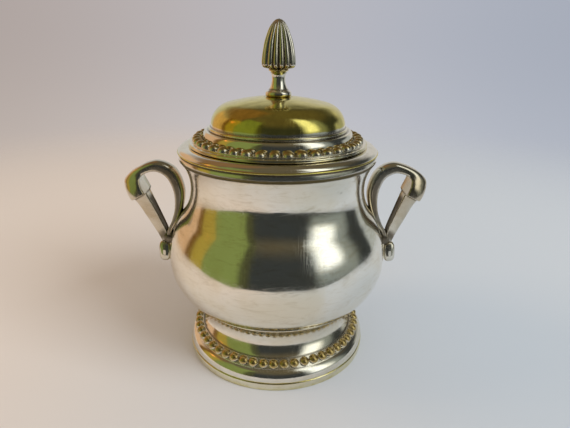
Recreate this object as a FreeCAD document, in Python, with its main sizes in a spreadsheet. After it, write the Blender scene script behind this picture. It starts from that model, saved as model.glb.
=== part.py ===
import FreeCAD, Part
import math
import os

import Sketcher
from FreeCAD import Placement, Rotation, Vector

# A covered sugar bowl: a baluster bowl on a pedestal foot, two cast loop handles,
# and a loose domed lid with a fluted bud finial.  Millimetres, +Z up, the origin at
# the centre of the face that stands on the table, the handles along X.

DIMENSIONS = {
    # bowl
    "Wall": 1.2,
    "BellyRadius": 46.5,
    "BellyHeight": 43.7,
    "BellyArc": 22.0,
    "NeckRadius": 36.2,
    "NeckHeight": 75.0,
    "NeckArc": 19.5,
    "ShellTop": 86.4,
    # moulding round the mouth
    "MouthRadius": 34.0,
    "SeatRadius": 36.8,
    "SeatHeight": 91.8,
    "MouthLeadHeight": 1.6,
    "MouthLeadWidth": 1.8,
    "RimRadius": 40.4,
    "RimEdgeHeight": 90.0,
    "RimFootRise": 1.3,
    "RimBandArc": 4.0,
    "RimCrownArc": 6.0,
    "RimCorner": 0.6,
    # pedestal foot
    "FootRadius": 40.0,
    "BaseWireHeight": 3.4,
    "BaseWireWidth": 3.2,
    "BaseWireRound": 0.5,
    "FootWall": 1.1,
    "FootSetBack": 0.3,
    "FootRollArc": 4.4,
    "FootStepRadius": 37.4,
    "FootStepHeight": 8.0,
    "FootSeatRadius": 33.8,
    "FootSeatHeight": 10.6,
    "FootCoveArc": 9.3,
    "FootTopRadius": 32.4,
    "SolderRadius": 0.8,
    # beaded wires
    "StripThickness": 0.5,
    "BeadRadius": 2.0,
    "FootBeads": 54,
    "LidBeads": 42,
    "LidBeadCircle": 32.5,
    "LidBeadRise": 0.7,
    # lid
    "SeatGap": 0.15,
    "LidWall": 1.0,
    "FlangeRadius": 36.0,
    "FlangeThickness": 1.3,
    "FlangeRound": 0.5,
    "RiserRadius": 30.3,
    "RiserTop": 97.6,
    "RiserBend": 2.4,
    "RiserArc": 4.2,
    "RiserLedge": 1.0,
    "ReedRadius": 0.7,
    "DomeRadius": 27.0,
    "DomeBase": 98.9,
    "DomeCorner": 9.2,
    "CrownHeight": 110.2,
    "CrownFlat": 5.4,
    "BezelRadius": 33.5,
    "BezelWall": 0.9,
    "BezelDepth": 6.0,
    "BezelLead": 0.3,
    # finial
    "StudRadius": 1.5,
    "StudClearance": 0.15,
    "StudBottom": 104.6,
    "StudTop": 126.0,
    "StemBaseRadius": 5.0,
    "StemWaistRadius": 2.6,
    "CupRadius": 3.9,
    "CupHeight": 120.6,
    "BudRadius": 6.2,
    "BudTop": 138.4,
    "BudRibs": 16,
    "RibWidth": 1.3,
    "RibRise": 0.45,
    "WasherRadius": 5.0,
    "WasherThickness": 0.8,
    "NutFlats": 5.5,
    "NutHeight": 2.4,
    # handles
    "JointReach": 47.2,
    "JointHeight": 49.7,
    "HandleWidth": 7.8,
    "HandleRound": 2.0,
    "LeanLeft": 1.5,
    "LeanRight": -1.5,
}

doc = FreeCAD.newDocument("sugar_bowl")
sheet = doc.addObject("Spreadsheet::Sheet", "Dims")
for row, (alias, number) in enumerate(DIMENSIONS.items(), start=1):
    sheet.set("A%d" % row, alias)
    sheet.set("B%d" % row, str(number))
    sheet.setAlias("B%d" % row, alias)
doc.recompute()


class Size:
    """A length with its number and the formula that gives it from the sheet's cells."""

    def __init__(self, number, formula):
        self.number = number
        self.formula = formula

    def __add__(self, other):
        other = size(other)
        return Size(self.number + other.number, "(%s + %s)" % (self.formula, other.formula))

    def __sub__(self, other):
        other = size(other)
        return Size(self.number - other.number, "(%s - %s)" % (self.formula, other.formula))

    def __mul__(self, factor):
        return Size(self.number * factor, "(%s * %g)" % (self.formula, factor))

    def over_arc(self, radius):
        """How far an arc of this radius stands off its centre at the given offset."""
        number = math.sqrt(radius.number ** 2 - self.number ** 2)
        formula = "sqrt(%s ^ 2 - %s ^ 2)" % (radius.formula, self.formula)
        return Size(number, formula)


def size(value):
    return value if isinstance(value, Size) else Size(value, "%g" % value)


def dim(alias):
    return Size(float(sheet.get(alias)), "Dims." + alias)


def new_body(label):
    body = doc.addObject("PartDesign::Body", label)
    body.Label = label
    return body


def new_sketch(body, name, role="XZ_Plane"):
    plane = next(item for item in body.Origin.OriginFeatures if item.Role == role)
    sketch = body.newObject("Sketcher::SketchObject", name)
    sketch.AttachmentSupport = [(plane, "")]
    sketch.MapMode = "FlatFace"
    return sketch


def hold(sketch, geometry, end, axis, value):
    """Fix one coordinate of a point, from the sheet or on the axis."""
    if value.number == 0:
        line = -2 if axis == "X" else -1
        sketch.addConstraint(Sketcher.Constraint("PointOnObject", geometry, end, line))
        return
    kind = "Distance" + axis
    index = sketch.addConstraint(Sketcher.Constraint(kind, -1, 1, geometry, end, value.number))
    sketch.setExpression("Constraints[%d]" % index, value.formula)


def draw(sketch, corners):
    """Closed outline.  A corner is (x, y), reached by a straight line, or (x, y, radius),
    reached by an arc: counter-clockwise for a positive radius, clockwise for a negative."""
    corners = [tuple(size(value) for value in corner) for corner in corners]
    pieces = []
    for corner, last in zip(corners, corners[-1:] + corners[:-1]):
        begin = Vector(last[0].number, last[1].number, 0)
        finish = Vector(corner[0].number, corner[1].number, 0)
        if len(corner) == 2:
            index = sketch.addGeometry(Part.LineSegment(begin, finish), False)
            pieces.append((index, 1, 2))
            continue
        radius = abs(corner[2].number)
        left = corner[2].number > 0
        if not left:
            begin, finish = finish, begin
        chord = finish - begin
        depth = math.sqrt(radius ** 2 - (chord.Length / 2) ** 2)
        centre = (begin + finish) * 0.5 + Vector(-chord.y, chord.x, 0).normalize() * depth
        circle = Part.Circle(centre, Vector(0, 0, 1), radius)
        from_angle = math.atan2(begin.y - centre.y, begin.x - centre.x)
        to_angle = math.atan2(finish.y - centre.y, finish.x - centre.x)
        index = sketch.addGeometry(Part.ArcOfCircle(circle, from_angle, to_angle), False)
        pieces.append((index, 1, 2) if left else (index, 2, 1))
        item = sketch.addConstraint(Sketcher.Constraint("Radius", index, radius))
        sketch.setExpression("Constraints[%d]" % item, corner[2].formula if left else
                             "-1 * " + corner[2].formula)
    for corner, here, after in zip(corners, pieces, pieces[1:] + pieces[:1]):
        sketch.addConstraint(Sketcher.Constraint("Coincident", here[0], here[2], after[0], after[1]))
        hold(sketch, here[0], here[2], "X", corner[0])
        hold(sketch, here[0], here[2], "Y", corner[1])


def turn(body, name, corners):
    """Turn a closed outline of (radius, height) corners about the bowl's axis."""
    sketch = new_sketch(body, name + "_outline")
    draw(sketch, corners)
    solid = body.newObject("PartDesign::Revolution", name)
    solid.Profile = sketch
    solid.ReferenceAxis = (sketch, ["V_Axis"])
    solid.Angle = 360
    sketch.Visibility = False
    return solid


def turned_piece(label, corners):
    body = new_body(label)
    turn(body, label + "_turned", corners)
    return body


# ---- bowl -------------------------------------------------------------------------

wall = dim("Wall")
belly = dim("BellyRadius")
belly_height = dim("BellyHeight")
lower_arc = dim("BellyArc")
neck = dim("NeckRadius")
neck_height = dim("NeckHeight")
neck_arc = dim("NeckArc")
shell_top = dim("ShellTop")
neck_centre = neck + neck_arc
flat_radius = belly - lower_arc
bottom = belly_height - lower_arc


def shoulder_arc():
    """Radius of the upper belly, which meets the belly's widest ring and the neck's arc."""
    over = neck_centre.number - belly.number
    rise = neck_height.number - belly_height.number
    radius = (over ** 2 + rise ** 2 - neck_arc.number ** 2) / (2 * (neck_arc.number - over))
    over_text = "(%s - %s)" % (neck_centre.formula, belly.formula)
    rise_text = "(%s - %s)" % (neck_height.formula, belly_height.formula)
    formula = "((%s ^ 2 + %s ^ 2 - %s ^ 2) / (2 * (%s - %s)))" % (
        over_text, rise_text, neck_arc.formula, neck_arc.formula, over_text)
    return Size(radius, formula)


upper_arc = shoulder_arc()
upper_centre = belly - upper_arc


def where_arcs_meet():
    """The point where the upper belly turns over into the neck."""
    total = upper_arc + neck_arc
    share_text = "(%s / %s)" % (upper_arc.formula, total.formula)
    share = upper_arc.number / total.number
    across = neck_centre - upper_centre
    rise = neck_height - belly_height
    radius = Size(upper_centre.number + across.number * share,
                  "(%s + %s * %s)" % (upper_centre.formula, across.formula, share_text))
    height = Size(belly_height.number + rise.number * share,
                  "(%s + %s * %s)" % (belly_height.formula, rise.formula, share_text))
    return radius, height


turn_radius, turn_height = where_arcs_meet()
lip_outer = neck_centre - (shell_top - neck_height).over_arc(neck_arc)
lip_inner = neck_centre - (shell_top - neck_height).over_arc(neck_arc + wall)
inner_share = (upper_arc.number - wall.number) / (upper_arc.number + neck_arc.number)
inner_text = "((%s - %s) / (%s + %s))" % (
    upper_arc.formula, wall.formula, upper_arc.formula, neck_arc.formula)
inner_turn_radius = Size(
    upper_centre.number + (neck_centre - upper_centre).number * inner_share,
    "(%s + %s * %s)" % (upper_centre.formula, (neck_centre - upper_centre).formula, inner_text))
inner_turn_height = Size(
    belly_height.number + (neck_height - belly_height).number * inner_share,
    "(%s + %s * %s)" % (belly_height.formula, (neck_height - belly_height).formula, inner_text))

outside = [
    (0, bottom),
    (flat_radius, bottom),
    (belly, belly_height, lower_arc),
    (turn_radius, turn_height, upper_arc),
    (lip_outer, shell_top, neck_arc * -1),
]
inside = [
    (lip_inner, shell_top),
    (inner_turn_radius, inner_turn_height, neck_arc + wall),
    (belly - wall, belly_height, (upper_arc - wall) * -1),
    (flat_radius, bottom + wall, (lower_arc - wall) * -1),
    (0, bottom + wall),
]
bowl_shell = turned_piece("bowl_shell", outside + inside)

# the solid outside form of the bowl, which cuts the backs of what is soldered to it
bowl_form = turned_piece("bowl_form", outside + [(0, shell_top)])

rim = dim("RimRadius")
rim_edge = dim("RimEdgeHeight")
seat = dim("SeatRadius")
seat_height = dim("SeatHeight")
mouth = dim("MouthRadius")
rim_corner = dim("RimCorner")
bowl_rim_mount = turned_piece("bowl_rim_mount", [
    (mouth, shell_top + dim("MouthLeadHeight")),
    (mouth + dim("MouthLeadWidth"), shell_top),
    (lip_outer, shell_top),
    (rim, shell_top + dim("RimFootRise"), 1.0),
    (rim - 0.1, rim_edge - 0.5, dim("RimBandArc")),
    (rim - rim_corner, rim_edge, rim_corner),
    (seat, seat_height, dim("RimCrownArc")),
    (mouth, seat_height),
])

# ---- foot -------------------------------------------------------------------------

foot = dim("FootRadius")
wire_height = dim("BaseWireHeight")
wire_width = dim("BaseWireWidth")
foot_wall = dim("FootWall")
step_radius = dim("FootStepRadius")
step_height = dim("FootStepHeight")
bead_seat_radius = dim("FootSeatRadius")
bead_seat_height = dim("FootSeatHeight")
cove_arc = dim("FootCoveArc")
foot_top = dim("FootTopRadius")


def under_belly(radius):
    """Height of the lower belly's outside at a radius."""
    return belly_height - (radius - flat_radius).over_arc(lower_arc)


foot_edge = foot - dim("FootSetBack")
foot_outside = [
    (foot_edge, wire_height),
    (step_radius, step_height, dim("FootRollArc")),
    (bead_seat_radius, bead_seat_height),
    (foot_top, under_belly(foot_top), cove_arc * -1),
]
foot_shell = turned_piece("foot_shell", foot_outside + [
    (foot_top - foot_wall, under_belly(foot_top - foot_wall), lower_arc * -1),
    (bead_seat_radius - foot_wall, bead_seat_height - 0.6, cove_arc + foot_wall),
    (step_radius - 1.3, step_height - 1.0),
    (foot_edge - foot_wall, wire_height, -3.4),
])
wire_round = dim("BaseWireRound")
foot_base_wire = turned_piece("foot_base_wire", [
    (foot - wire_width, 0),
    (foot - wire_round, 0),
    (foot, wire_round, wire_round),
    (foot, wire_height - wire_round),
    (foot - wire_round, wire_height, wire_round),
    (foot - wire_width, wire_height),
])

solder_ring = doc.addObject("Part::Torus", "solder_ring")
solder_ring.setExpression("Radius1", "Dims.FootTopRadius + 0.25")
solder_ring.setExpression("Radius2", "Dims.SolderRadius")
solder_ring.setExpression("Placement.Base.z", under_belly(foot_top).formula)
solder_under_bowl = doc.addObject("Part::Cut", "solder_under_bowl")
solder_under_bowl.Base = solder_ring
solder_under_bowl.Tool = bowl_form
foot_solder_seam = doc.addObject("Part::Cut", "foot_solder_seam")
foot_solder_seam.Base = solder_under_bowl
foot_solder_seam.Tool = foot_shell
foot_solder_seam.Label = "foot_solder_seam"

# ---- beaded wires -----------------------------------------------------------------


def beaded_wire(label, strip, circle, height, count, trim):
    """A thin strip that carries a ring of beads; trim is what lies below its seat."""
    body = new_body(label)
    turn(body, label + "_strip", strip)
    bead = body.newObject("PartDesign::AdditiveSphere", label + "_bead")
    bead.setExpression("Radius", "Dims.BeadRadius")
    bead.setExpression("Placement.Base.x", circle.formula)
    bead.setExpression("Placement.Base.z", height.formula)
    doc.recompute()
    ring = body.newObject("PartDesign::PolarPattern", label + "_ring")
    ring.Originals = [bead]
    ring.Axis = (doc.getObject(label + "_strip_outline"), ["V_Axis"])
    ring.Angle = 360
    ring.setExpression("Occurrences", "Dims." + count)
    body.Tip = ring
    doc.recompute()
    sketch = new_sketch(body, label + "_trim_outline")
    draw(sketch, trim)
    groove = body.newObject("PartDesign::Groove", label + "_trim")
    groove.Profile = sketch
    groove.ReferenceAxis = (sketch, ["V_Axis"])
    groove.Angle = 360
    body.Tip = groove
    return body


strip = dim("StripThickness")
slope_across = (step_radius - bead_seat_radius).number
slope_down = (bead_seat_height - step_height).number
slope_length = math.hypot(slope_across, slope_down)
normal_across = slope_down / slope_length
normal_up = slope_across / slope_length


def on_foot_seat(share, off):
    """A point on the conical bead seat, from its top (0) to its step (1), and off it."""
    radius = bead_seat_radius + (step_radius - bead_seat_radius) * share + size(off) * normal_across
    height = bead_seat_height - (bead_seat_height - step_height) * share + size(off) * normal_up
    return radius, height


bead_middle = on_foot_seat(0.5, 0.7)
foot_bead_wire = beaded_wire(
    "foot_bead_wire",
    [on_foot_seat(0.04, 0), on_foot_seat(0.96, 0), on_foot_seat(0.96, strip), on_foot_seat(0.04, strip)],
    bead_middle[0], bead_middle[1], "FootBeads",
    [on_foot_seat(-0.3, 0), on_foot_seat(-0.3, -2.5), on_foot_seat(1.3, -2.5), on_foot_seat(1.3, 0)])

# ---- lid --------------------------------------------------------------------------

lid_bottom = seat_height + dim("SeatGap")
lid_wall = dim("LidWall")
flange = dim("FlangeRadius")
flange_top = lid_bottom + dim("FlangeThickness")
riser = dim("RiserRadius")
riser_top = dim("RiserTop")
reed = dim("ReedRadius")
dome = dim("DomeRadius")
dome_base = dim("DomeBase")
dome_corner = dim("DomeCorner")
crown = dim("CrownHeight")
crown_flat = dim("CrownFlat")
stud = dim("StudRadius")
stud_hole = stud + dim("StudClearance")


def crown_radius():
    """Radius of the crown's arc, which is tangent to the dome's corner at its top flat."""
    across = dome.number - dome_corner.number
    rise = crown.number - dome_base.number
    return (across ** 2 + rise ** 2 - dome_corner.number ** 2) / (2 * (rise - dome_corner.number))


crown_arc = crown_radius()
crown_share = dome_corner.number / (crown_arc - dome_corner.number)
corner_radius = dome - dome_corner
corner_end_radius = corner_radius + corner_radius * crown_share
corner_end_height = dome_base + (size(crown_arc) - (crown - dome_base)) * crown_share
flange_round = dim("FlangeRound")
riser_bend = riser_top - dim("RiserBend")
lid_shell = turned_piece("lid_shell", [
    (flange - flange_round, lid_bottom),
    (flange, lid_bottom + flange_round, flange_round),
    (flange, flange_top - flange_round),
    (flange - flange_round, flange_top, flange_round),
    (riser, flange_top),
    (riser, riser_bend),
    (riser - dim("RiserLedge"), riser_top, dim("RiserArc")),
    (dome + 0.5, riser_top),
    (dome + 0.5, dome_base, reed),
    (dome, dome_base),
    (corner_end_radius, corner_end_height, dome_corner),
    (crown_flat, crown, crown_arc),
    (stud_hole, crown),
    (stud_hole, crown - lid_wall),
    (crown_flat, crown - lid_wall),
    (corner_end_radius - 0.2, corner_end_height - lid_wall, -crown_arc),
    (dome - lid_wall, dome_base - 0.2, (dome_corner - lid_wall) * -1),
    (dome - lid_wall, riser_top - lid_wall),
    (riser - 2.0, riser_top - lid_wall),
    (riser - lid_wall, riser_bend, lid_wall - dim("RiserArc")),
    (riser - lid_wall, lid_bottom),
])
lid_bead_wire = beaded_wire(
    "lid_bead_wire",
    [(dim("LidBeadCircle") - 2.0, flange_top), (dim("LidBeadCircle") + 2.0, flange_top),
     (dim("LidBeadCircle") + 2.0, flange_top + strip), (dim("LidBeadCircle") - 2.0, flange_top + strip)],
    dim("LidBeadCircle"), flange_top + dim("LidBeadRise"), "LidBeads",
    [(dim("LidBeadCircle") - 3.0, flange_top), (dim("LidBeadCircle") - 3.0, flange_top - 3.0),
     (dim("LidBeadCircle") + 3.0, flange_top - 3.0), (dim("LidBeadCircle") + 3.0, flange_top)])

bezel = dim("BezelRadius")
bezel_wall = dim("BezelWall")
bezel_bottom = lid_bottom - dim("BezelDepth")
bezel_lead = dim("BezelLead")
lid_bezel = turned_piece("lid_bezel", [
    (bezel - bezel_wall, bezel_bottom),
    (bezel - bezel_lead, bezel_bottom),
    (bezel, bezel_bottom + bezel_lead),
    (bezel, lid_bottom),
    (bezel - bezel_wall, lid_bottom),
])

# ---- finial -----------------------------------------------------------------------

stem_base = dim("StemBaseRadius")
waist = dim("StemWaistRadius")
cup = dim("CupRadius")
cup_height = dim("CupHeight")
finial_stem = turned_piece("finial_stem", [
    (stud_hole, crown),
    (stem_base - 0.4, crown),
    (stem_base - 0.6, crown + 2.3, 1.3),
    (stem_base - 1.2, crown + 2.7),
    (waist, crown + 6.6, -7.5),
    (waist + 0.35, crown + 8.6, -6.5),
    (cup - 0.5, cup_height - 1.0),
    (cup, cup_height - 0.5, 0.55),
    (cup - 0.4, cup_height, 0.45),
    (stud_hole, cup_height),
])

bud = dim("BudRadius")
bud_top = dim("BudTop")
stud_top = dim("StudTop")


def bud_outline(grow):
    """The bud's half outline, from its flat base to its tip, a little larger by grow."""
    return [
        (bud * 0.62 + grow, cup_height),
        (bud + grow, cup_height + 2.6, 3.0),
        (bud * 0.86 + grow, cup_height + 8.6, 22.0),
        (bud * 0.30 + grow, bud_top - 1.3, 16.0),
    ]


finial_bud = new_body("finial_bud")
turn(finial_bud, "bud_core", [(stud, cup_height)] + bud_outline(size(0)) + [
    (0.6, bud_top),
    (0, bud_top),
    (0, stud_top),
    (stud, stud_top),
])
rib_sketch = new_sketch(finial_bud, "bud_rib_outline")
draw(rib_sketch, [(bud * 0.5, cup_height)] + bud_outline(dim("RibRise")) + [
    (bud * 0.2, bud_top - 1.1),
])
rib = finial_bud.newObject("PartDesign::Pad", "bud_rib")
rib.Profile = rib_sketch
rib.Midplane = True
rib.setExpression("Length", "Dims.RibWidth")
doc.recompute()
ribs = finial_bud.newObject("PartDesign::PolarPattern", "bud_ribs")
ribs.Originals = [rib]
ribs.Axis = (rib_sketch, ["V_Axis"])
ribs.Angle = 360
ribs.setExpression("Occurrences", "Dims.BudRibs")
finial_bud.Tip = ribs

finial_stud = doc.addObject("Part::Cylinder", "finial_stud")
finial_stud.Label = "finial_stud"
finial_stud.setExpression("Radius", "Dims.StudRadius")
finial_stud.setExpression("Height", "Dims.StudTop - Dims.StudBottom")
finial_stud.setExpression("Placement.Base.z", "Dims.StudBottom")

washer_top = crown - lid_wall
washer_bottom = washer_top - dim("WasherThickness")
finial_washer = turned_piece("finial_washer", [
    (stud_hole, washer_bottom),
    (dim("WasherRadius"), washer_bottom),
    (dim("WasherRadius"), washer_top),
    (stud_hole, washer_top),
])

nut_blank = doc.addObject("Part::Prism", "nut_blank")
nut_blank.Polygon = 6
nut_blank.setExpression("Circumradius", "Dims.NutFlats / sqrt(3)")
nut_blank.setExpression("Height", "Dims.NutHeight")
nut_blank.setExpression("Placement.Base.z", (washer_bottom - dim("NutHeight")).formula)
nut_bore = doc.addObject("Part::Cylinder", "nut_bore")
nut_bore.setExpression("Radius", "Dims.StudRadius")
nut_bore.setExpression("Height", "Dims.NutHeight + 2")
nut_bore.setExpression("Placement.Base.z", (washer_bottom - dim("NutHeight") - 1).formula)
finial_nut = doc.addObject("Part::Cut", "finial_nut")
finial_nut.Base = nut_blank
finial_nut.Tool = nut_bore
finial_nut.Label = "finial_nut"

# ---- handles ----------------------------------------------------------------------

reach = dim("JointReach")
joint = dim("JointHeight")


def round_the_loop(points):
    """Corners for draw(), each but the first reached by an arc that leaves the last one
    smoothly.  The first two points give the straight line that the outline starts with."""
    heading = math.atan2(points[1][1] - points[0][1], points[1][0] - points[0][0])
    corners = [points[0], points[1]]
    for last, here in zip(points[1:], points[2:]):
        across = here[0] - last[0]
        up = here[1] - last[1]
        bend = math.atan2(up, across) - heading
        bend = (bend + math.pi) % (2 * math.pi) - math.pi
        corners.append((here[0], here[1], math.hypot(across, up) / (2 * math.sin(bend))))
        heading += 2 * bend
    return corners


def from_joint(corners):
    """Turn (out, up) offsets from the joint into places that follow the joint's sizes."""
    return [(reach + corner[0], joint + corner[1]) + tuple(corner[2:]) for corner in corners]


def handle_body(name):
    """One casting: a teardrop loop, thick at the thumb rest, with a scrolled tail."""
    body = new_body(name)
    outline = round_the_loop([
        (3.6, -1.4), (11.8, 15.6), (16.0, 22.1), (16.3, 26.2), (10.4, 31.7), (2.0, 34.4),
        (-5.3, 30.9), (-8.7, 20.1), (-5.4, 9.8), (-1.0, 2.8),
    ])
    tail = [(-2.6, 1.0), (-2.6, -2.6), (0.1, -3.4), (0.1, -8.0), (2.6, -10.7, 2.7), (5.2, -8.0, 2.7),
            (5.2, -5.2), (3.6, -1.4, 4.5)]
    loop = new_sketch(body, name + "_loop")
    draw(loop, from_joint(outline[1:] + tail))
    opening = round_the_loop([
        (1.1, 4.9), (9.0, 25.9), (7.6, 28.9), (2.4, 30.2), (-2.9, 25.9), (-4.4, 17.3),
        (-2.8, 9.8), (-0.2, 4.9),
    ])
    draw(loop, from_joint(opening[1:] + [(1.1, 4.9, 0.75)]))
    pad = body.newObject("PartDesign::Pad", name + "_blank")
    pad.Profile = loop
    pad.Midplane = True
    pad.setExpression("Length", "Dims.HandleWidth")
    doc.recompute()
    outside = [piece.toShape() for piece in loop.Geometry[:len(outline) - 1]]
    back = body.newObject("PartDesign::Fillet", name + "_round_back")
    back.Base = (pad, long_edges(pad.Shape, outside))
    back.setExpression("Radius", "Dims.HandleRound")
    body.Tip = back
    return body


def long_edges(solid, outline_pieces):
    """Names of the edges that run along the given pieces of the outline, on both sides."""
    names = []
    for number, edge in enumerate(solid.Edges, start=1):
        middle = edge.valueAt((edge.FirstParameter + edge.LastParameter) / 2)
        spot = Part.Vertex(middle.x, middle.z, 0)
        beside = any(spot.distToShape(piece)[0] < 0.02 for piece in outline_pieces)
        if beside and abs(middle.y) > 1.0:
            names.append("Edge%d" % number)
    return names


handle_right_casting = handle_body("handle_right_casting")
handle_left_casting = handle_body("handle_left_casting")


def fit_handle(label, casting, lean, half_turn):
    """Lean the casting about its joint, cut its back to the bowl, and set it on its side."""
    pivot = Vector(reach.number, 0, joint.number)
    casting.Placement = Placement(Vector(0, 0, 0), Rotation(Vector(0, 1, 0), lean), pivot)
    fitted = doc.addObject("Part::Cut", label)
    fitted.Base = casting
    fitted.Tool = bowl_form
    fitted.Label = label
    fitted.Placement = Placement(Vector(0, 0, 0), Rotation(Vector(0, 0, 1), half_turn))
    return fitted


handle_right = fit_handle("handle_right", handle_right_casting, dim("LeanRight").number, 0)
handle_left = fit_handle("handle_left", handle_left_casting, dim("LeanLeft").number, 180)

# ---- check and write --------------------------------------------------------------

PIECES = [
    bowl_shell, bowl_rim_mount, foot_shell, foot_solder_seam, foot_bead_wire, foot_base_wire,
    handle_left, handle_right, lid_shell, lid_bead_wire, lid_bezel, finial_stem, finial_bud,
    finial_stud, finial_washer, finial_nut,
]

doc.recompute()
for item in doc.Objects:
    if "Invalid" in item.State or "Error" in item.State:
        raise SystemExit("%s did not recompute: %s" % (item.Name, item.State))
os.makedirs("parts", exist_ok=True)
for piece in PIECES:
    shape = piece.Shape
    if shape.isNull() or not shape.isValid() or len(shape.Solids) != 1:
        raise SystemExit("%s is not one valid solid" % piece.Label)
    shape.exportStep(os.path.join("parts", piece.Label + ".step"))
    print("%-18s %9.1f mm3" % (piece.Label, shape.Volume))
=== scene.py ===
import math
import random

import bpy
import numpy as np
from mathutils import Matrix, Vector, noise


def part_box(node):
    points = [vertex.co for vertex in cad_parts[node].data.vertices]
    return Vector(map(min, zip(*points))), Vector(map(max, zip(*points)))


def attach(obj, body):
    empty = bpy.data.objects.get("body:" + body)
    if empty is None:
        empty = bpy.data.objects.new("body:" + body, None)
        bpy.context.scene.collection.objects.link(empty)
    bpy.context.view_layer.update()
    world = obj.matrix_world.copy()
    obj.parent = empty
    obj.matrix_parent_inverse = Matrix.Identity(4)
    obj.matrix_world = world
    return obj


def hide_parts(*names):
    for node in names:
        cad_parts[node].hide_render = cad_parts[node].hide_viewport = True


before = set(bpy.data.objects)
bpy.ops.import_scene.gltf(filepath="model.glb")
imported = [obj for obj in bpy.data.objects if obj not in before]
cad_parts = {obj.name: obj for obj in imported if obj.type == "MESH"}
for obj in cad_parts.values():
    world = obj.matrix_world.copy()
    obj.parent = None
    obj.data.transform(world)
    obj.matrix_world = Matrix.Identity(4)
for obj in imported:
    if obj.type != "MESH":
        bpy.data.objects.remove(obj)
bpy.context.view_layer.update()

# A silver-plated sugar bowl with a lift-off lid. Each piece is built in millimetres, in the
# frame's axes, and piece() turns it into metres. Floor, room, lights and camera are in metres.

MM = 0.001
TAU = 2 * math.pi
AROUND = 240            # steps round a turned piece
GAP = 0.9               # mm between the points of an arc; straight runs take three times that
EASE = 0.25             # mm that a sharp corner's small curve takes from each side
SHARP = 0.14            # radians, the bend from which a corner is eased
SUPPORT = 0.12          # mm from the end of a run to the point that holds its shading flat
CLEAR = 0.2             # mm, the nearest that any other point may lie to a cut end
EDGE_REACH = 0.5        # mm over which an edge is worn, or a corner is darkened with dirt and painted shade


# ---- turned outlines ------------------------------------------------------------------
# Outlines are (radius, height) corners in millimetres, counter-clockwise round the metal.
# A third number makes the way to that corner an arc: to the left if it is positive.

def size_of(node):
    """Outer radius, lowest and highest level of a turned CAD node, in millimetres."""
    low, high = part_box(node)
    return high.y / MM, low.z / MM, high.z / MM


def line_points(start, end):
    """Points along a straight run, both ends included."""
    count = max(1, math.ceil(math.dist(start, end) / (3 * GAP)))
    share = np.linspace(0, 1, count + 1)[:, None]
    return np.array(start) * (1 - share) + np.array(end) * share


def arc_points(start, end, radius):
    """Points along an arc, which turns to the left if the radius is positive."""
    start, end = np.array(start), np.array(end)
    chord = end - start
    half = np.hypot(*chord) / 2
    side = math.copysign(1, radius)
    radius = max(abs(radius), half)
    to_centre = np.array([-chord[1], chord[0]]) / (2 * half)
    centre = (start + end) / 2 + to_centre * side * math.sqrt(radius ** 2 - half ** 2)
    first = math.atan2(*(start - centre)[::-1])
    sweep = 2 * math.asin(half / radius) * side
    count = max(4, math.ceil(abs(sweep) * radius / GAP), math.ceil(abs(sweep) / SHARP))
    angles = first + sweep * np.linspace(0, 1, count + 1)
    return centre + radius * np.stack([np.cos(angles), np.sin(angles)], 1)


def cut_ends(points, head, tail):
    """The same run without its first and last bits, with a support point beside each cut."""
    at = np.r_[0, np.cumsum(np.hypot(*np.diff(points, axis=0).T))]
    stops = [head, at[-1] - tail]
    if head:
        stops.append(head + SUPPORT)
    if tail:
        stops.append(at[-1] - tail - SUPPORT)
    kept = at[(at > head + CLEAR) & (at < at[-1] - tail - CLEAR)]
    stops = np.array(sorted(set(stops) | set(kept)))
    stops = stops[(stops >= head) & (stops <= at[-1] - tail)]
    return np.stack([np.interp(stops, at, points[:, 0]), np.interp(stops, at, points[:, 1])], 1)


def outline(corners, ease=EASE, closed=True):
    """Points along an outline, with its sharp corners eased into small curves."""
    ring = list(corners) + (list(corners[:1]) if closed else [])
    runs = []
    for last, here in zip(ring, ring[1:]):
        if len(here) == 3:
            runs.append(arc_points(last[:2], here[:2], here[2]))
        else:
            runs.append(line_points(last[:2], here[:2]))
    lengths = [np.hypot(*np.diff(run, axis=0).T).sum() for run in runs]
    heads, tails = [0.0] * len(runs), [0.0] * len(runs)
    for i in range(len(runs)):
        after = (i + 1) % len(runs)
        if not closed and after == 0:
            continue
        a, b = runs[i][-1] - runs[i][-2], runs[after][1] - runs[after][0]
        bend = abs(math.atan2(a[0] * b[1] - a[1] * b[0], a @ b))
        if bend > SHARP:
            tails[i] = heads[after] = min(ease, 0.35 * lengths[i], 0.35 * lengths[after])
    cut = [cut_ends(run, head, tail) for run, head, tail in zip(runs, heads, tails)]
    points = []
    for i, run in enumerate(cut):
        points.extend(run)
        if tails[i]:
            corner, other = runs[i][-1], cut[(i + 1) % len(cut)][0]
            for t in (0.2, 0.4, 0.6, 0.8):
                points.append((1 - t) ** 2 * run[-1] + 2 * t * (1 - t) * corner + t * t * other)
        elif i + 1 < len(cut) or closed:
            points.pop()        # the next run starts with the same point
    return np.array(points)


def corner_signals(points, closed):
    """How much each point lies on a proud edge, and how much in a corner, which is darkened with dirt
    and painted shade.
    """
    after, before = np.roll(points, -1, 0) - points, points - np.roll(points, 1, 0)
    turn = np.arctan2(before[:, 0] * after[:, 1] - before[:, 1] * after[:, 0],
                      (before * after).sum(1))
    if not closed:
        turn[0] = turn[-1] = 0
    at = np.r_[0, np.cumsum(np.hypot(*after[:-1].T))]
    total = at[-1] + np.hypot(*after[-1])
    apart = np.abs(at[:, None] - at[None])
    if closed:
        apart = np.minimum(apart, total - apart)
    turned_by = np.exp(-(apart / EDGE_REACH) ** 2) @ turn
    full = 0.9              # radians of bend that count as a whole edge or corner
    return np.clip(turned_by / full, 0, 1), np.clip(-turned_by / full, 0, 1)


# ---- making pieces --------------------------------------------------------------------

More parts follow.
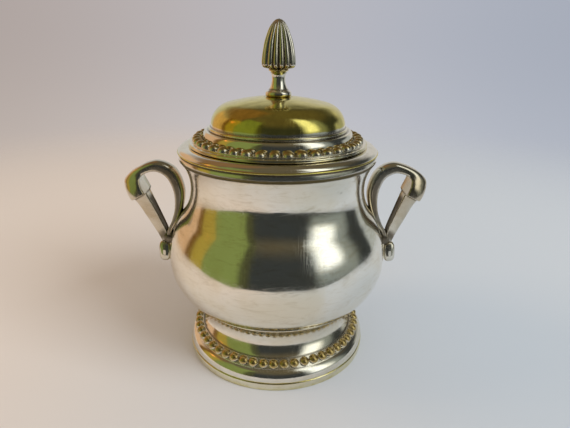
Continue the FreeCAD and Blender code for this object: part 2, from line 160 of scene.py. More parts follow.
def curve_at(stations, places):
    """Rows of numbers joined by a smooth curve, read at places counted in rows. The curve is
    a Catmull-Rom spline, so it passes through every row."""
    rows = np.array(stations, float)
    rows = np.vstack([2 * rows[0] - rows[1], rows, 2 * rows[-1] - rows[-2]])
    points = []
    for place in places:
        i = min(int(place), len(stations) - 2)
        t = place - i
        a, b, c, d = rows[i:i + 4]
        points.append(0.5 * (2 * b + (c - a) * t + (2 * a - 5 * b + 4 * c - d) * t ** 2
                             + (3 * b - a - 3 * c + d) * t ** 3))
    return np.array(points)


def smooth(value, low, high):
    """Smooth rise from 0 to 1 as value goes from low to high."""
    t = min(1.0, max(0.0, (value - low) / (high - low)))
    return t * t * (3 - 2 * t)


def quads(first, rings, around, upward=False):
    """Faces between rings of points that follow one another, the first point being number
    first. upward is for rings that each lie above the last, seen from outside."""
    faces = []
    for i in range(rings - 1):
        a, b = first + i * around, first + (i + 1) * around
        for j in range(around):
            k = (j + 1) % around
            faces.append((a + j, a + k, b + k, b + j) if upward else (a + j, b + j, b + k, a + k))
    return faces


def cap(first, around):
    """One face over a ring of points."""
    return tuple(range(first, first + around))


def piece(name, body, node, verts, faces, material, wear, dirt_and_shade=None):
    """A smooth mesh from points in millimetres, which stands for the named CAD node."""
    mesh = bpy.data.meshes.new(name)
    mesh.from_pydata((np.asarray(verts) * MM).tolist(), [], faces)
    mesh.shade_smooth()
    for title, values in (("wear", wear), ("dirt_and_shade", dirt_and_shade)):
        if values is not None:
            layer = mesh.attributes.new(title, "FLOAT", "POINT")
            layer.data.foreach_set("value", np.asarray(values, np.float32))
    made = bpy.data.objects.new(name, mesh)
    bpy.context.scene.collection.objects.link(made)
    mesh.materials.append(material)
    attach(made, body)
    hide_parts(node)


def unevenness(verts, amount, size, seed):
    """Moves points up to amount to and from the axis, in bumps of about that size (mm)."""
    verts = np.array(verts)
    for i, (x, y, z) in enumerate(verts):
        bump = amount * noise.noise(Vector((x / size + seed, y / size, z / size)))
        flat = math.hypot(x, y)
        if flat > 1:
            verts[i, 0] += bump * x / flat
            verts[i, 1] += bump * y / flat
    return verts


def lathe(points, closed, around=AROUND):
    """Vertices and faces of an outline turned about Z, and the outline point of each vertex."""
    angles = np.arange(around) * TAU / around
    verts, rows, source = [], [], []
    for i, (radius, height) in enumerate(points):
        if radius < 1e-4:
            rows.append([len(verts)] * around)
            verts.append((0.0, 0.0, height))
            source.append(i)
            continue
        rows.append(list(range(len(verts), len(verts) + around)))
        verts.extend(zip(radius * np.cos(angles), radius * np.sin(angles), [height] * around))
        source.extend([i] * around)
    faces = []
    pairs = list(zip(rows, rows[1:])) + ([(rows[-1], rows[0])] if closed else [])
    for low, high in pairs:
        for j in range(around):
            k = (j + 1) % around
            face = list(dict.fromkeys((low[j], low[k], high[k], high[j])))
            if len(face) > 2:
                faces.append(face)
    return np.array(verts), faces, np.array(source)


def turned(name, body, node, corners, material, uneven, closed=True, dirt_and_shade_places=(),
           around=AROUND):
    """A turned piece, uneven by that many mm. Its list of (radius, height, reach) places is darkened
    with dirt and painted shade, in corners and where parts meet.
    """
    points = outline(corners, closed=closed)
    wear, dirt_and_shade = corner_signals(points, closed)
    for radius, height, reach in dirt_and_shade_places:
        away = np.hypot(points[:, 0] - radius, points[:, 1] - height)
        dirt_and_shade = np.maximum(dirt_and_shade, np.exp(-(away / reach) ** 2))
    verts, faces, source = lathe(points, closed, around)
    verts = unevenness(verts, uneven, size=17.0, seed=len(name))
    piece(name, body, node, verts, faces, material, wear[source], dirt_and_shade[source])


# ---- materials ------------------------------------------------------------------------

def linear(red, green, blue):
    """The linear colour of 0-255 screen values."""
    def one(value):
        value /= 255
        return value / 12.92 if value < 0.04 else ((value + 0.055) / 1.055) ** 2.4
    return one(red), one(green), one(blue), 1.0


class Graph:
    """A node tree with short ways to add and join nodes. Values may be sockets or numbers."""

    def __init__(self, owner):
        owner.use_nodes = True
        self.tree = owner.node_tree
        self.tree.nodes.clear()

    def add(self, kind, inputs=None, **settings):
        made = self.tree.nodes.new("ShaderNode" + kind)
        for key, value in settings.items():
            setattr(made, key, value)
        for key, value in (inputs or {}).items():
            self.put(value, made.inputs[key])
        return made

    def put(self, value, socket):
        if isinstance(value, bpy.types.NodeSocket):
            self.tree.links.new(value, socket)
        else:
            socket.default_value = value

    def math(self, operation, a, b=0.0, c=None):
        inputs = {0: a, 1: b} if c is None else {0: a, 1: b, 2: c}
        return self.add("Math", inputs, operation=operation).outputs[0]

    def step(self, value, low, high, to_low=0.0, to_high=1.0):
        """Smooth rise from to_low to to_high as value goes from low to high."""
        inputs = {"Value": value, "From Min": low, "From Max": high,
                  "To Min": to_low, "To Max": to_high}
        return self.add("MapRange", inputs, interpolation_type="SMOOTHSTEP").outputs["Result"]

    def mix(self, share, a, b):
        made = self.add("Mix", {0: share, 6: a, 7: b}, data_type="RGBA")
        return made.outputs[2]

    def noise(self, where, scale, detail=3.0, rough=0.5, warp=0.0):
        inputs = {"Vector": where, "Scale": scale, "Detail": detail,
                  "Roughness": rough, "Distortion": warp}
        return self.add("TexNoise", inputs).outputs["Fac"]

    def stretched(self, where, turn, scale):
        """The object's own coordinates turned and stretched."""
        inputs = {"Vector": where, "Rotation": turn, "Scale": scale}
        return self.add("Mapping", inputs).outputs["Vector"]


def scratches(g, where, turn, across, along, width):
    """Fine lines that run one way: thin level bands of a noise stretched along them."""
    field = g.noise(g.stretched(where, turn, (across, along, along)), 1.0, 2.0, 0.55, 0.3)
    off = g.math("ABSOLUTE", g.math("SUBTRACT", field, 0.5))
    return g.step(off, 0.0, width, 1.0, 0.0)


SILVER = (0.95, 0.93, 0.86, 1.0)
SILVER_AGED = (0.88, 0.82, 0.68, 1.0)
BRASS = (0.84, 0.73, 0.20, 1.0)
OLD_BRASS = (0.66, 0.50, 0.20, 1.0)
# dark stains and dirt, and painted shade in corners and recesses
SOOT_AND_SHADE = (0.10, 0.075, 0.045, 1.0)
FILM = (0.50, 0.40, 0.22, 1.0)          # brown tarnish, in faint level streaks


def plated(name, worn_from, worn_to, fresh=SILVER, aged=SILVER_AGED, bare=BRASS, rough=0.06,
           worn_above=None, dirt_and_shade_share=0.9, haze=0.10, wave=0.25, spots=0.5, film=0.55):
    """Silver plate over brass: toned and hazy in patches, scratched by use, worn through to
    the brass on proud edges, and dark in corners and recesses with dirt and painted shade.
    worn_from and worn_to are the wear at which the brass starts to show and shows alone, and
    worn_above is the pair of heights (mm) between which it does so everywhere."""
    material = bpy.data.materials.new(name)
    g = Graph(material)
    where = g.add("TexCoord").outputs["Object"]
    wear = g.add("Attribute", attribute_name="wear").outputs["Fac"]
    dirt_and_shade = g.add("Attribute", attribute_name="dirt_and_shade").outputs["Fac"]
    cloud = g.noise(where, 38.0, 4.0, 0.55, 0.4)        # patches of about 25 mm
    fleck = g.noise(where, 330.0, 5.0, 0.65)            # 3 mm
    grain = g.noise(where, 1500.0, 3.0, 0.6)            # 0.7 mm
    stain = g.noise(where, 120.0, 6.0, 0.7, 0.8)        # 8 mm

    tone = g.mix(g.step(cloud, 0.34, 0.68), fresh, aged)
    brass = g.mix(g.step(fleck, 0.3, 0.7), bare, tuple(v * 0.82 for v in bare[:3]) + (1.0,))
    broken = g.math("MULTIPLY", g.math("SUBTRACT", fleck, 0.5), 0.55)
    rubbed = g.math("ADD", wear, broken)
    if worn_above:
        height = g.add("SeparateXYZ", {0: where}).outputs["Z"]
        ragged = g.math("MULTIPLY", g.math("SUBTRACT", cloud, 0.5), 0.004)
        high = g.step(g.math("ADD", height, ragged), worn_above[0] * MM, worn_above[1] * MM)
        rubbed = g.math("ADD", rubbed, g.math("MULTIPLY", high, 1.3))
    bare_share = g.step(rubbed, worn_from, worn_to)
    tone = g.mix(bare_share, tone, brass)
    level = g.stretched(where, (0.02, 0.03, 0.0), (110.0, 110.0, 430.0))
    streak = g.noise(level, 1.0, 8.0, 0.78, 0.9)
    film_share = g.step(streak, 0.46, 0.86, 0.0, film)
    tone = g.mix(film_share, tone, FILM)
    spot = g.step(stain, 0.62, 0.74, 0.0, spots)
    tone = g.mix(spot, tone, SOOT_AND_SHADE)
    # dirt and painted shade: corners and recesses darkened towards the soot colour
    packed_and_shaded = g.math("ADD", dirt_and_shade, g.math("MULTIPLY", broken, 0.5))
    dirty_and_shaded = g.step(packed_and_shaded, 0.12, 0.75, 0.0, dirt_and_shade_share)
    tone = g.mix(dirty_and_shaded, tone, SOOT_AND_SHADE)

    lines = scratches(g, where, (0.3, 0.5, 0.2), 900.0, 60.0, 0.012)
    others = scratches(g, where, (1.1, -0.4, 0.9), 60.0, 800.0, 0.010)
    marks = g.math("MAXIMUM", lines, others)
    gloss = g.step(cloud, 0.3, 0.75, rough, rough + haze * 0.6)
    gloss = g.math("ADD", gloss, g.math("MULTIPLY", bare_share, haze * 0.5))
    gloss = g.math("ADD", gloss, g.math("MULTIPLY", dirty_and_shaded, 0.35))
    gloss = g.math("ADD", gloss, g.math("MULTIPLY", spot, 0.3))
    gloss = g.math("ADD", gloss, g.math("MULTIPLY", film_share, 0.25))
    gloss = g.math("ADD", gloss, g.math("MULTIPLY", marks, 0.07))

    swell = g.math("MULTIPLY", g.noise(where, 55.0, 2.0, 0.4), wave * 0.001)
    relief = g.math("ADD", swell, g.math("MULTIPLY", grain, 0.0000015))
    relief = g.math("SUBTRACT", relief, g.math("MULTIPLY", marks, 0.000003))
    bump = g.add("Bump", {"Strength": 1.0, "Distance": 1.0, "Height": relief})
    shader = g.add("BsdfPrincipled", {"Base Color": tone, "Metallic": 1.0,
                                      "Roughness": gloss, "Normal": bump.outputs["Normal"]})
    out = g.add("OutputMaterial")
    g.put(shader.outputs[0], out.inputs["Surface"])
    return material


plate = plated("silver_plate_old", 0.62, 1.1, film=0.75)
plate_rim = plated("silver_plate_rim", 0.5, 0.95)
plate_foot = plated("silver_plate_foot", 0.75, 1.2, rough=0.075, haze=0.13, dirt_and_shade_share=0.6)
plate_wire = plated("silver_plate_thin", 0.75, 1.2, (0.93, 0.89, 0.74, 1.0), (0.86, 0.79, 0.55, 1.0),
                    rough=0.10)
plate_cast = plated("silver_plate_cast", 0.55, 1.05, (0.86, 0.84, 0.75, 1.0), (0.60, 0.51, 0.37, 1.0),
                    OLD_BRASS, rough=0.10, haze=0.16, wave=0.3)
brass_dome = plated("worn_brass_lid", 0.85, 1.25, rough=0.05, worn_above=(98.4, 100.8), haze=0.08,
                    wave=0.8, spots=0.2, film=0.3, dirt_and_shade_share=0.5)
brass_beads = plated("worn_brass_beads", 0.5, 0.8, bare=OLD_BRASS, rough=0.16, haze=0.14)
plate_stalk = plated("silver_plate_stalk", 0.7, 1.1, bare=OLD_BRASS, rough=0.08)
solder = plated("hard_solder", 0.3, 0.7, (0.50, 0.42, 0.26, 1.0), (0.34, 0.27, 0.15, 1.0), OLD_BRASS,
                rough=0.28, haze=0.3, wave=0.5)
rod = plated("turned_brass", 0.45, 0.75, (0.78, 0.62, 0.26, 1.0), OLD_BRASS, rough=0.18)

# ---- bowl -----------------------------------------------------------------------------

WALL = 1.2
LOWER_ARC, NECK_ARC = 22.0, 19.5    # radii of the belly below its widest place, and of the neck
NECK_IN, NECK_UP = 10.3, 53.3       # the neck inside the belly's radius, and above its bottom

belly, bottom, lip = size_of("bowl_shell")
belly_height = bottom + LOWER_ARC
neck_height = bottom + NECK_UP
neck_centre = belly - NECK_IN + NECK_ARC
over, rise = neck_centre - belly, neck_height - belly_height
upper_arc = (over ** 2 + rise ** 2 - NECK_ARC ** 2) / (2 * (NECK_ARC - over))
upper_centre = belly - upper_arc


def shoulder(radius):
    """Where the upper belly turns over into the neck, for its face of that arc radius."""
    share = radius / (upper_arc + NECK_ARC)
    return (upper_centre + (neck_centre - upper_centre) * share,
            belly_height + rise * share)


def at_lip(radius):
    """Radius of the neck's face at the lip, for its face of that arc radius."""
    return neck_centre - math.sqrt(radius ** 2 - (lip - neck_height) ** 2)


lip_outer = at_lip(NECK_ARC)
turned("bowl_body", "bowl", "bowl_shell", [
    (0, bottom),
    (belly - LOWER_ARC, bottom),
    (belly, belly_height, LOWER_ARC),
    (*shoulder(upper_arc), upper_arc),
    (lip_outer, lip, -NECK_ARC),
    (at_lip(NECK_ARC + WALL), lip),
    (*shoulder(upper_arc - WALL), NECK_ARC + WALL),
    (belly - WALL, belly_height, WALL - upper_arc),
    (belly - LOWER_ARC, bottom + WALL, WALL - LOWER_ARC),
    (0, bottom + WALL),
], plate, closed=False, uneven=0.10, dirt_and_shade_places=[(lip_outer, lip, 0.7), (32.5, bottom + 1.6, 0.9)])

rim, rim_low, rim_top = size_of("bowl_rim_mount")
mouth = rim - 6.4
turned("bowl_rim", "bowl", "bowl_rim_mount", [
    (mouth, rim_low + 1.6),
    (mouth + 1.8, rim_low),
    (lip_outer, rim_low),
    (rim - 0.4, rim_low + 0.6, 1.0),
    (rim - 0.75, rim_low + 2.7, 5.0),
    (rim - 0.1, rim_low + 3.0),
    (rim, rim_low + 3.4, 0.3),
    (rim - 0.5, rim_low + 3.7),
    (rim - 3.6, rim_top, 3.2),
    (mouth, rim_top),
], plate_rim, uneven=0.04, dirt_and_shade_places=[(lip_outer + 0.3, rim_low + 0.2, 0.7)])

# ---- foot -----------------------------------------------------------------------------

foot = size_of("foot_shell")[0]
wire_radius, table, wire_top = size_of("foot_base_wire")
WIRE_WIDE = 3.2
STEP = (37.4, 8.0)                  # where the rounded roll ends and the beads' seat begins
SEAT = (33.8, 10.6)                 # the upper end of the seat
NECK_OF_FOOT = 32.4                 # where the foot meets the belly
FOOT_WALL = 1.1


def under_belly(radius):
    """Height of the belly's underside at that radius."""
    return belly_height - math.sqrt(LOWER_ARC ** 2 - (radius - belly + LOWER_ARC) ** 2)


turned("foot_body", "bowl", "foot_shell", [
    (foot, wire_top),
    (*STEP, 4.4),
    SEAT,
    (NECK_OF_FOOT, under_belly(NECK_OF_FOOT), -9.3),
    (NECK_OF_FOOT - FOOT_WALL, under_belly(NECK_OF_FOOT - FOOT_WALL), -LOWER_ARC),
    (SEAT[0] - FOOT_WALL, SEAT[1] - 0.6, 10.4),
    (STEP[0] - 1.3, STEP[1] - 1.0),
    (foot - FOOT_WALL, wire_top, -3.4),
], plate_foot, uneven=0.05, dirt_and_shade_places=[(*SEAT, 0.6), (NECK_OF_FOOT, under_belly(NECK_OF_FOOT), 0.9)])
turned("foot_base", "bowl", "foot_base_wire", [
    (wire_radius - WIRE_WIDE, table),
    (wire_radius - 0.5, table),
    (wire_radius, table + 0.5, 0.5),
    (wire_radius, wire_top - 0.7),
    (wire_radius - 0.7, wire_top, 0.7),
    (wire_radius - WIRE_WIDE, wire_top),
], plate_wire, uneven=0.03)


def solder_run():
    """The uneven fillet of solder between belly and foot."""
    low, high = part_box("foot_solder_seam")
    middle = high.y / MM - 0.75
    level = (low.z + high.z) / 2 / MM
    around, ring = 360, 12
    verts = []
    for j in range(around):
        a = TAU * j / around
        thick = 0.74 + 0.2 * noise.noise(Vector((7 * math.cos(a), 7 * math.sin(a), 3)))
        for i in range(ring):
            b = TAU * i / ring
            lump = thick + 0.16 * noise.noise(Vector((24 * math.cos(a), 24 * math.sin(a), i * 0.8)))
            radius = middle + lump * math.cos(b)
            verts.append((radius * math.cos(a), radius * math.sin(a), level + lump * math.sin(b)))
    faces = [tuple(v % len(verts) for v in face) for face in quads(0, around + 1, ring)]
    wear = [0.5 + 0.5 * noise.noise(Vector(v) * 0.6) for v in verts]
    piece("foot_solder", "bowl", "foot_solder_seam", verts, faces, solder, wear)


solder_run()


# ---- beaded wires ---------------------------------------------------------------------

BEAD, STRIP = 2.0, 0.5          # radius of a bead, thickness of the strip under the beads
BEAD_RISE = 0.7                 # the middle of a bead above the face that the strip lies on


def beads(name, body, node, strip, circle, level, count, normal, seed):
    """A flat strip with count cast beads on it, each a little different. Their middles lie on
    the circle of that radius at that level, and normal is the way (out, up) that they face."""
    chance = random.Random(seed)
    across, up = normal
    verts, faces, _ = lathe(outline(strip, ease=0.12), True)
    verts = verts.tolist()
    # the strip is lightly darkened: painted shade between and under the beads
    wear, dirt_and_shade = [0.0] * len(verts), [0.06] * len(verts)
    round_steps, rows = 24, 14
    deepest = math.pi * 0.72            # a bead ends below its widest place, inside the strip
    for n in range(count):
        turn = TAU * (n + 0.25 + chance.uniform(-0.03, 0.03)) / count
        out = Vector((math.cos(turn), math.sin(turn), 0))
        along = Vector((-math.sin(turn), math.cos(turn), 0))
        face_up = out * across + Vector((0, 0, up))
        inward = along.cross(face_up)
        size = BEAD * chance.uniform(0.95, 1.02)
        middle = out * circle + Vector((0, 0, level)) + face_up * chance.uniform(-0.08, 0.04)
        wide, deep = chance.uniform(1.0, 1.06), chance.uniform(0.84, 0.90)
        faces += quads(len(verts), rows + 1, round_steps)
        for i in range(rows + 1):
            dip = deepest * i / rows
            crown = math.cos(dip)
            for j in range(round_steps):
                spin = TAU * j / round_steps
                ball = (face_up * crown * deep + along * math.sin(dip) * math.cos(spin) * wide
                        + inward * math.sin(dip) * math.sin(spin))
                lump = 1 + 0.025 * noise.noise(ball * 1.7 + Vector((n * 3.1, seed, 0)))
                verts.append(tuple(middle + ball * size * lump))
                wear.append(min(1.0, max(0.0, 0.35 + 0.75 * crown)))
                # painted shade low on each bead, where it meets the strip
                dirt_and_shade.append(min(1.0, max(0.0, (0.12 - crown) * 1.3)))
    piece(name, body, node, verts, faces, brass_beads, wear, dirt_and_shade)


slope = Vector((STEP[0] - SEAT[0], STEP[1] - SEAT[1]))
off_seat = Vector((-slope.y, slope.x)).normalized()


def on_seat(share, off):
    """The (radius, height) at that share of the way down the seat, and off its face."""
    place = Vector(SEAT) + slope * share + off_seat * off
    return place.x, place.y


beads("foot_beads", "bowl", "foot_bead_wire",
      [on_seat(0.03, 0), on_seat(0.97, 0), on_seat(0.97, STRIP), on_seat(0.03, STRIP)],
      *on_seat(0.5, BEAD_RISE), count=54, normal=(off_seat.x, off_seat.y), seed=5)

# ---- lid ------------------------------------------------------------------------------

flange, lid_low, crown = size_of("lid_shell")
flange_top = lid_low + 1.3
RISER, DOME, CORNER = 30.3, 27.0, 9.2   # radii of the riser and the dome, and of the dome's turn
riser_top, dome_base = lid_low + 5.65, lid_low + 6.95
STUD_HOLE, CROWN_FLAT, LID_WALL = 1.65, 5.4, 1.0
# The crown is one wide arc that the dome's turn runs into smoothly, at turn_end.
crown_arc = ((DOME - CORNER) ** 2 + (crown - dome_base) ** 2 - CORNER ** 2) / (
    2 * (crown - dome_base - CORNER))
turn_share = CORNER / (crown_arc - CORNER)
turn_end = ((DOME - CORNER) * (1 + turn_share),
            dome_base + (crown_arc - crown + dome_base) * turn_share)
turned("lid_dome", "lid", "lid_shell", [
    (flange - 0.5, lid_low),
    (flange, lid_low + 0.5, 0.5),
    (flange, flange_top - 0.5),
    (flange - 0.5, flange_top, 0.5),
    (RISER, flange_top),
    (RISER, riser_top - 2.4),
    (RISER - 1.0, riser_top, 4.2),
    (DOME + 0.5, riser_top),
    (DOME + 0.5, dome_base, 0.7),
    (DOME, dome_base),
    (*turn_end, CORNER),
    (CROWN_FLAT, crown, crown_arc),
    (STUD_HOLE, crown),
    (STUD_HOLE, crown - LID_WALL),
    (CROWN_FLAT, crown - LID_WALL),
    (turn_end[0] - 0.2, turn_end[1] - LID_WALL, -crown_arc),
    (DOME - LID_WALL, dome_base - 0.2, LID_WALL - CORNER),
    (DOME - LID_WALL, riser_top - LID_WALL),
    (RISER - 2.0, riser_top - LID_WALL),
    (RISER - LID_WALL, riser_top - 2.4, -3.2),
    (RISER - LID_WALL, lid_low),
], brass_dome, uneven=0.07, dirt_and_shade_places=[(RISER, flange_top, 0.6), (5.0, crown, 0.5)])

bezel, bezel_low, bezel_top = size_of("lid_bezel")
BEZEL_WALL = 0.9
turned("lid_collar", "lid", "lid_bezel", [
    (bezel - BEZEL_WALL, bezel_low),
    (bezel - 0.3, bezel_low),
    (bezel, bezel_low + 0.3),
    (bezel, bezel_top),
    (bezel - BEZEL_WALL, bezel_top),
], plate, uneven=0.05)
strip_in, strip_out = 30.5, 34.5
beads("lid_beads", "lid", "lid_bead_wire",
      [(strip_in, flange_top), (strip_out, flange_top),
       (strip_out, flange_top + STRIP), (strip_in, flange_top + STRIP)],
      (strip_in + strip_out) / 2, flange_top + BEAD_RISE, count=42, normal=(0.0, 1.0), seed=11)

# ---- finial ---------------------------------------------------------------------------

stem_low, cup_top = size_of("finial_stem")[1:]
turned("finial_stalk", "lid", "finial_stem", [
    (STUD_HOLE, stem_low),
    (4.6, stem_low),
    (4.4, stem_low + 2.3, 1.3),
    (3.8, stem_low + 2.7),
    (2.6, stem_low + 6.6, -7.5),
    (2.95, stem_low + 8.6, -6.5),
    (3.4, cup_top - 1.0),
    (3.9, cup_top - 0.5, 0.55),
    (3.5, cup_top, 0.45),
    (STUD_HOLE, cup_top),
], plate_stalk, uneven=0.03, around=96)


def bud():
    """The fluted bud: rounded petals that end in points over the cup."""
    petals, steps, rows = 16, 20, 110
    around = petals * steps
    low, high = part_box("finial_bud")
    start, tip = low.z / MM, high.z / MM
    # share of the height, share of the widest radius
    shape = [(0.0, 0.60), (0.02, 0.85), (0.05, 0.96), (0.10, 1.0), (0.20, 0.99), (0.36, 0.93),
             (0.56, 0.81), (0.76, 0.62), (0.90, 0.40), (0.97, 0.22), (1.0, 0.0)]
    profile = curve_at(shape, np.linspace(0, len(shape) - 1, rows + 1))
    verts, wear, dirt_and_shade = [], [], []
    for t, share in np.clip(profile, 0, 1):
        radius = share * high.y / MM
        cut = 1 - 0.62 * smooth(t, 0.40, 0.95)      # the flutes are rubbed shallow towards the tip
        depth = min(1.0, 0.26 * radius) * min(1.0, (1 - t) * 9) * cut
        reach = min(1.0, 0.35 + 0.65 * math.sqrt(t / 0.13))     # the petals' points, at the bottom
        for j in range(around):
            a = TAU * (j + 0.5) / around
            phase = abs(((a * petals / TAU) % 1) * 2 - 1)       # 0 on a petal's ridge, 1 between
            fall = min(1.0, phase / reach) ** 2.2
            r = radius - depth * fall - 0.9 * (1 - reach) * fall
            r = max(0.0, r + 0.10 * noise.noise(Vector((3 * math.cos(a), 3 * math.sin(a), t * 5))))
            verts.append((r * math.cos(a), r * math.sin(a), start + (tip - start) * t))
            wear.append(max(0.0, 0.62 - fall))
            # dirt and painted shade down in the flutes between the petals
            dirt_and_shade.append(max(0.0, fall - 0.45) * 1.8 * cut)
    faces = quads(0, rows + 1, around, upward=True)
    faces += [cap(0, around)[::-1], cap(rows * around, around)]
    piece("finial_petals", "lid", "finial_bud", verts, faces, plate_cast, wear, dirt_and_shade)


bud()
for node in ("finial_stud", "finial_washer", "finial_nut"):     # inside, as CAD made them
    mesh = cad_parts[node].data
    mesh.materials.clear()
    mesh.materials.append(rod)


# ---- handles --------------------------------------------------------------------------

# The strap from the joint, up the outer leg and down the inner one: at each station, how far
# out and up its outer face lies from the joint, the same for its inner face, and its half width.
STRAP = [
    (3.4, -2.2, 0.4, 1.2, 2.2), (5.2, 2.2, 1.4, 5.3, 2.3), (8.4, 8.7, 3.6, 11.6, 2.5),
    (11.7, 15.4, 6.2, 18.6, 3.0), (14.9, 20.3, 8.3, 23.8, 3.6), (16.4, 23.9, 9.0, 26.2, 3.6),
    (15.6, 27.4, 8.9, 27.7, 3.5), (10.4, 31.7, 6.9, 29.4, 3.5), (2.0, 34.4, 2.4, 30.2, 3.5),
    (-5.3, 30.9, -1.9, 27.5, 3.4), (-8.4, 22.6, -4.2, 21.2, 3.3), (-7.4, 14.6, -3.9, 13.9, 3.2),
    (-4.6, 8.2, -1.9, 7.8, 3.1), (-1.8, 3.4, 0.0, 4.3, 3.0), (-1.0, 0.4, 0.9, 1.0, 2.8),
]
REST_LIP = 3.45         # where the thumb rest begins, counted in stations from the joint
REST_FADE = 3.2         # stations over which it runs out again
REST_WIDE, REST_PROUD = 2.8, 0.7        # mm that it stands out at each edge, and on the crown
FLAT = 0.09             # share of the strap's thickness that its flat inner face takes up


def strap_section():
    """Half-round section: (share from the flat inner face to the outer crown, share across)."""
    flat = [(0.05 + 0.03 * (1 - (v / 0.8) ** 2), v) for v in np.linspace(-0.80, 0.80, 9)]
    edge = [(0.0, 0.88), (0.03, 0.95), (0.10, 1.0), (0.25, 1.0), (0.42, 0.99)]
    crown = []
    for t in np.linspace(0, math.pi / 2, 12)[1:]:
        crown.append((0.42 + 0.58 * math.sin(t) ** 0.85, 0.99 * math.cos(t) ** 0.75))
    right = edge + crown
    left = [(u, -v) for u, v in reversed(right[:-1])]
    return flat + right + left


def handle_strap(verts, faces, wear, dirt_and_shade):
    """The strap bent into a teardrop, with the lipped thumb rest round its outer bend."""
    fine = REST_LIP + np.arange(-0.06, 0.14, 0.02)
    places = sorted({*np.arange(0, 14.01, 0.1).round(2), *fine.round(2)})
    section = strap_section()
    for place, (out_x, out_z, in_x, in_z, half) in zip(places, curve_at(STRAP, places)):
        rest = smooth(place, REST_LIP - 0.06, REST_LIP + 0.08)
        rest *= max(0.0, 1 - (place - REST_LIP) / REST_FADE)
        rounded = smooth(place, REST_LIP, 5.2) * smooth(place, 7.4, 5.6)    # on the outer bend
        inner_leg = smooth(place, 6.2, 8.6)              # the inner leg, which is made darker
        thick = Vector((out_x - in_x, out_z - in_z))
        proud = 1 + REST_PROUD * rest / thick.length
        low = max(0.0, 1 - math.hypot(out_x - 1.5, out_z - 1.0) / 5.0)      # near the joint, where painted shade darkens the strap
        # a dark line of painted shade along the thumb rest's lip
        lip = math.exp(-((place - REST_LIP + 0.04) / 0.10) ** 2)
        for u, v in section:
            w = max(0.0, (u - 0.08) / 0.92)
            full = math.copysign((1 - w * w) ** 0.6, v) if u > FLAT else v
            across = (half + REST_WIDE * rest) * (v + (full - v) * rounded)
            verts.append((in_x + thick.x * u * proud, across, in_z + thick.y * u * proud))
            edge = max(0.0, 1 - abs(u - 0.05) / 0.08) * (1.0 if abs(v) > 0.85 else 0.0)
            wear.append(max(edge, 0.35 * max(0.0, u - 0.7) / 0.3))
            inner_face = u < FLAT and abs(v) < 0.85
            shade_between_legs = 0.9 * smooth(place, 3.6, 2.6) if inner_face else 0.0      # painted shade on the inner face, between the legs
            # darker along the inner leg, with painted shade between the legs, near the joint and along
            # the lip
            inner_dark = max(inner_leg * (0.55 if u < 0.55 else 0.2), shade_between_legs)
            dirt_and_shade.append(min(1.0, max(low * 1.4, inner_dark, 0.5 * lip) * (1 - edge)))
    count = len(section)
    faces += quads(0, len(places), count)
    faces += [cap(0, count), cap((len(places) - 1) * count, count)[::-1]]


def oval(middle, half_out, half_up, steps, power):
    """A squared oval: an ellipse at power 2, and closer to its box above that."""
    ring = []
    for j in range(steps):
        a = TAU * j / steps
        c, s = math.cos(a), math.sin(a)
        ring.append((middle[0] + half_out * math.copysign(abs(c) ** (2 / power), c),
                     middle[1] + half_up * math.copysign(abs(s) ** (2 / power), s)))
    return ring


def handle_tail(verts, faces, wear, dirt_and_shade):
    """The rolled tail below the joint, which widens towards its lower end."""
    first, steps = len(verts), 48
    middle, half_out, half_up = (2.65, -6.3), 2.55, 4.35
    # share of the oval, mm across before the widening
    layers = [(0.0, 3.70), (0.3, 3.66), (0.55, 3.50), (0.74, 3.24), (0.87, 2.88), (0.96, 2.30),
              (1.0, 1.5), (1.0, 0.0)]
    layers += [(share, -y) for share, y in reversed(layers[:-1])]
    for share, y in layers:
        for x, z in oval(middle, half_out * share, half_up * share, steps, 3.2):
            verts.append((x, y * (0.86 - 0.07 * (z - middle[1]) - 0.04 * (x - middle[0])), z))
            wear.append(0.75 if share > 0.8 else 0.15)
            # painted shade in a band just inside the tail's rounded edge
            dirt_and_shade.append(0.45 if 0.8 < share < 0.95 else 0.05)
    faces += quads(first, len(layers), steps)
    faces += [cap(first, steps), cap(first + (len(layers) - 1) * steps, steps)[::-1]]


def handle_lump(verts, faces, wear, dirt_and_shade, side):
    """The lump where both legs are brazed to the bowl."""
    first, rings, spokes = len(verts), 14, 28
    for i in range(rings + 1):
        dip = math.pi * i / rings
        for j in range(spokes):
            spin = TAU * j / spokes
            way = Vector((math.sin(dip) * math.cos(spin), math.sin(dip) * math.sin(spin), math.cos(dip)))
            lump = 1 + 0.08 * noise.noise(way * 2.2 + Vector((side, 0, 4)))
            verts.append((0.2 + 2.9 * way.x * lump, 3.2 * way.y * lump, 0.2 + 3.4 * way.z * lump))
            wear.append(0.1)
            # dirt and painted shade over the whole lump, where the legs meet the bowl
            dirt_and_shade.append(0.65)
    faces += quads(first, rings + 1, spokes)


def handle(name, node, side, lean):
    """One cast handle, made out and up from its joint with the bowl and then set in place.
    side is 1 at the right and -1 at the left, and lean is in degrees, outwards."""
    verts, faces, wear, dirt_and_shade = [], [], [], []
    handle_strap(verts, faces, wear, dirt_and_shade)
    handle_tail(verts, faces, wear, dirt_and_shade)
    handle_lump(verts, faces, wear, dirt_and_shade, side)
    reach, joint = belly + 0.7, bottom + 28.0
    tilt = math.radians(lean)
    placed = []
    for out, y, up in verts:
        x = reach + out * math.cos(tilt) + up * math.sin(tilt)
        z = joint - out * math.sin(tilt) + up * math.cos(tilt)
        placed.append((side * x, side * y, z))
    piece(name, "bowl", node, placed, faces, plate_cast, wear, dirt_and_shade)


handle("handle_right_loop", "handle_right", 1, -1.5)
handle("handle_left_loop", "handle_left", -1, 1.5)


# ---- floor, room and lights -----------------------------------------------------------

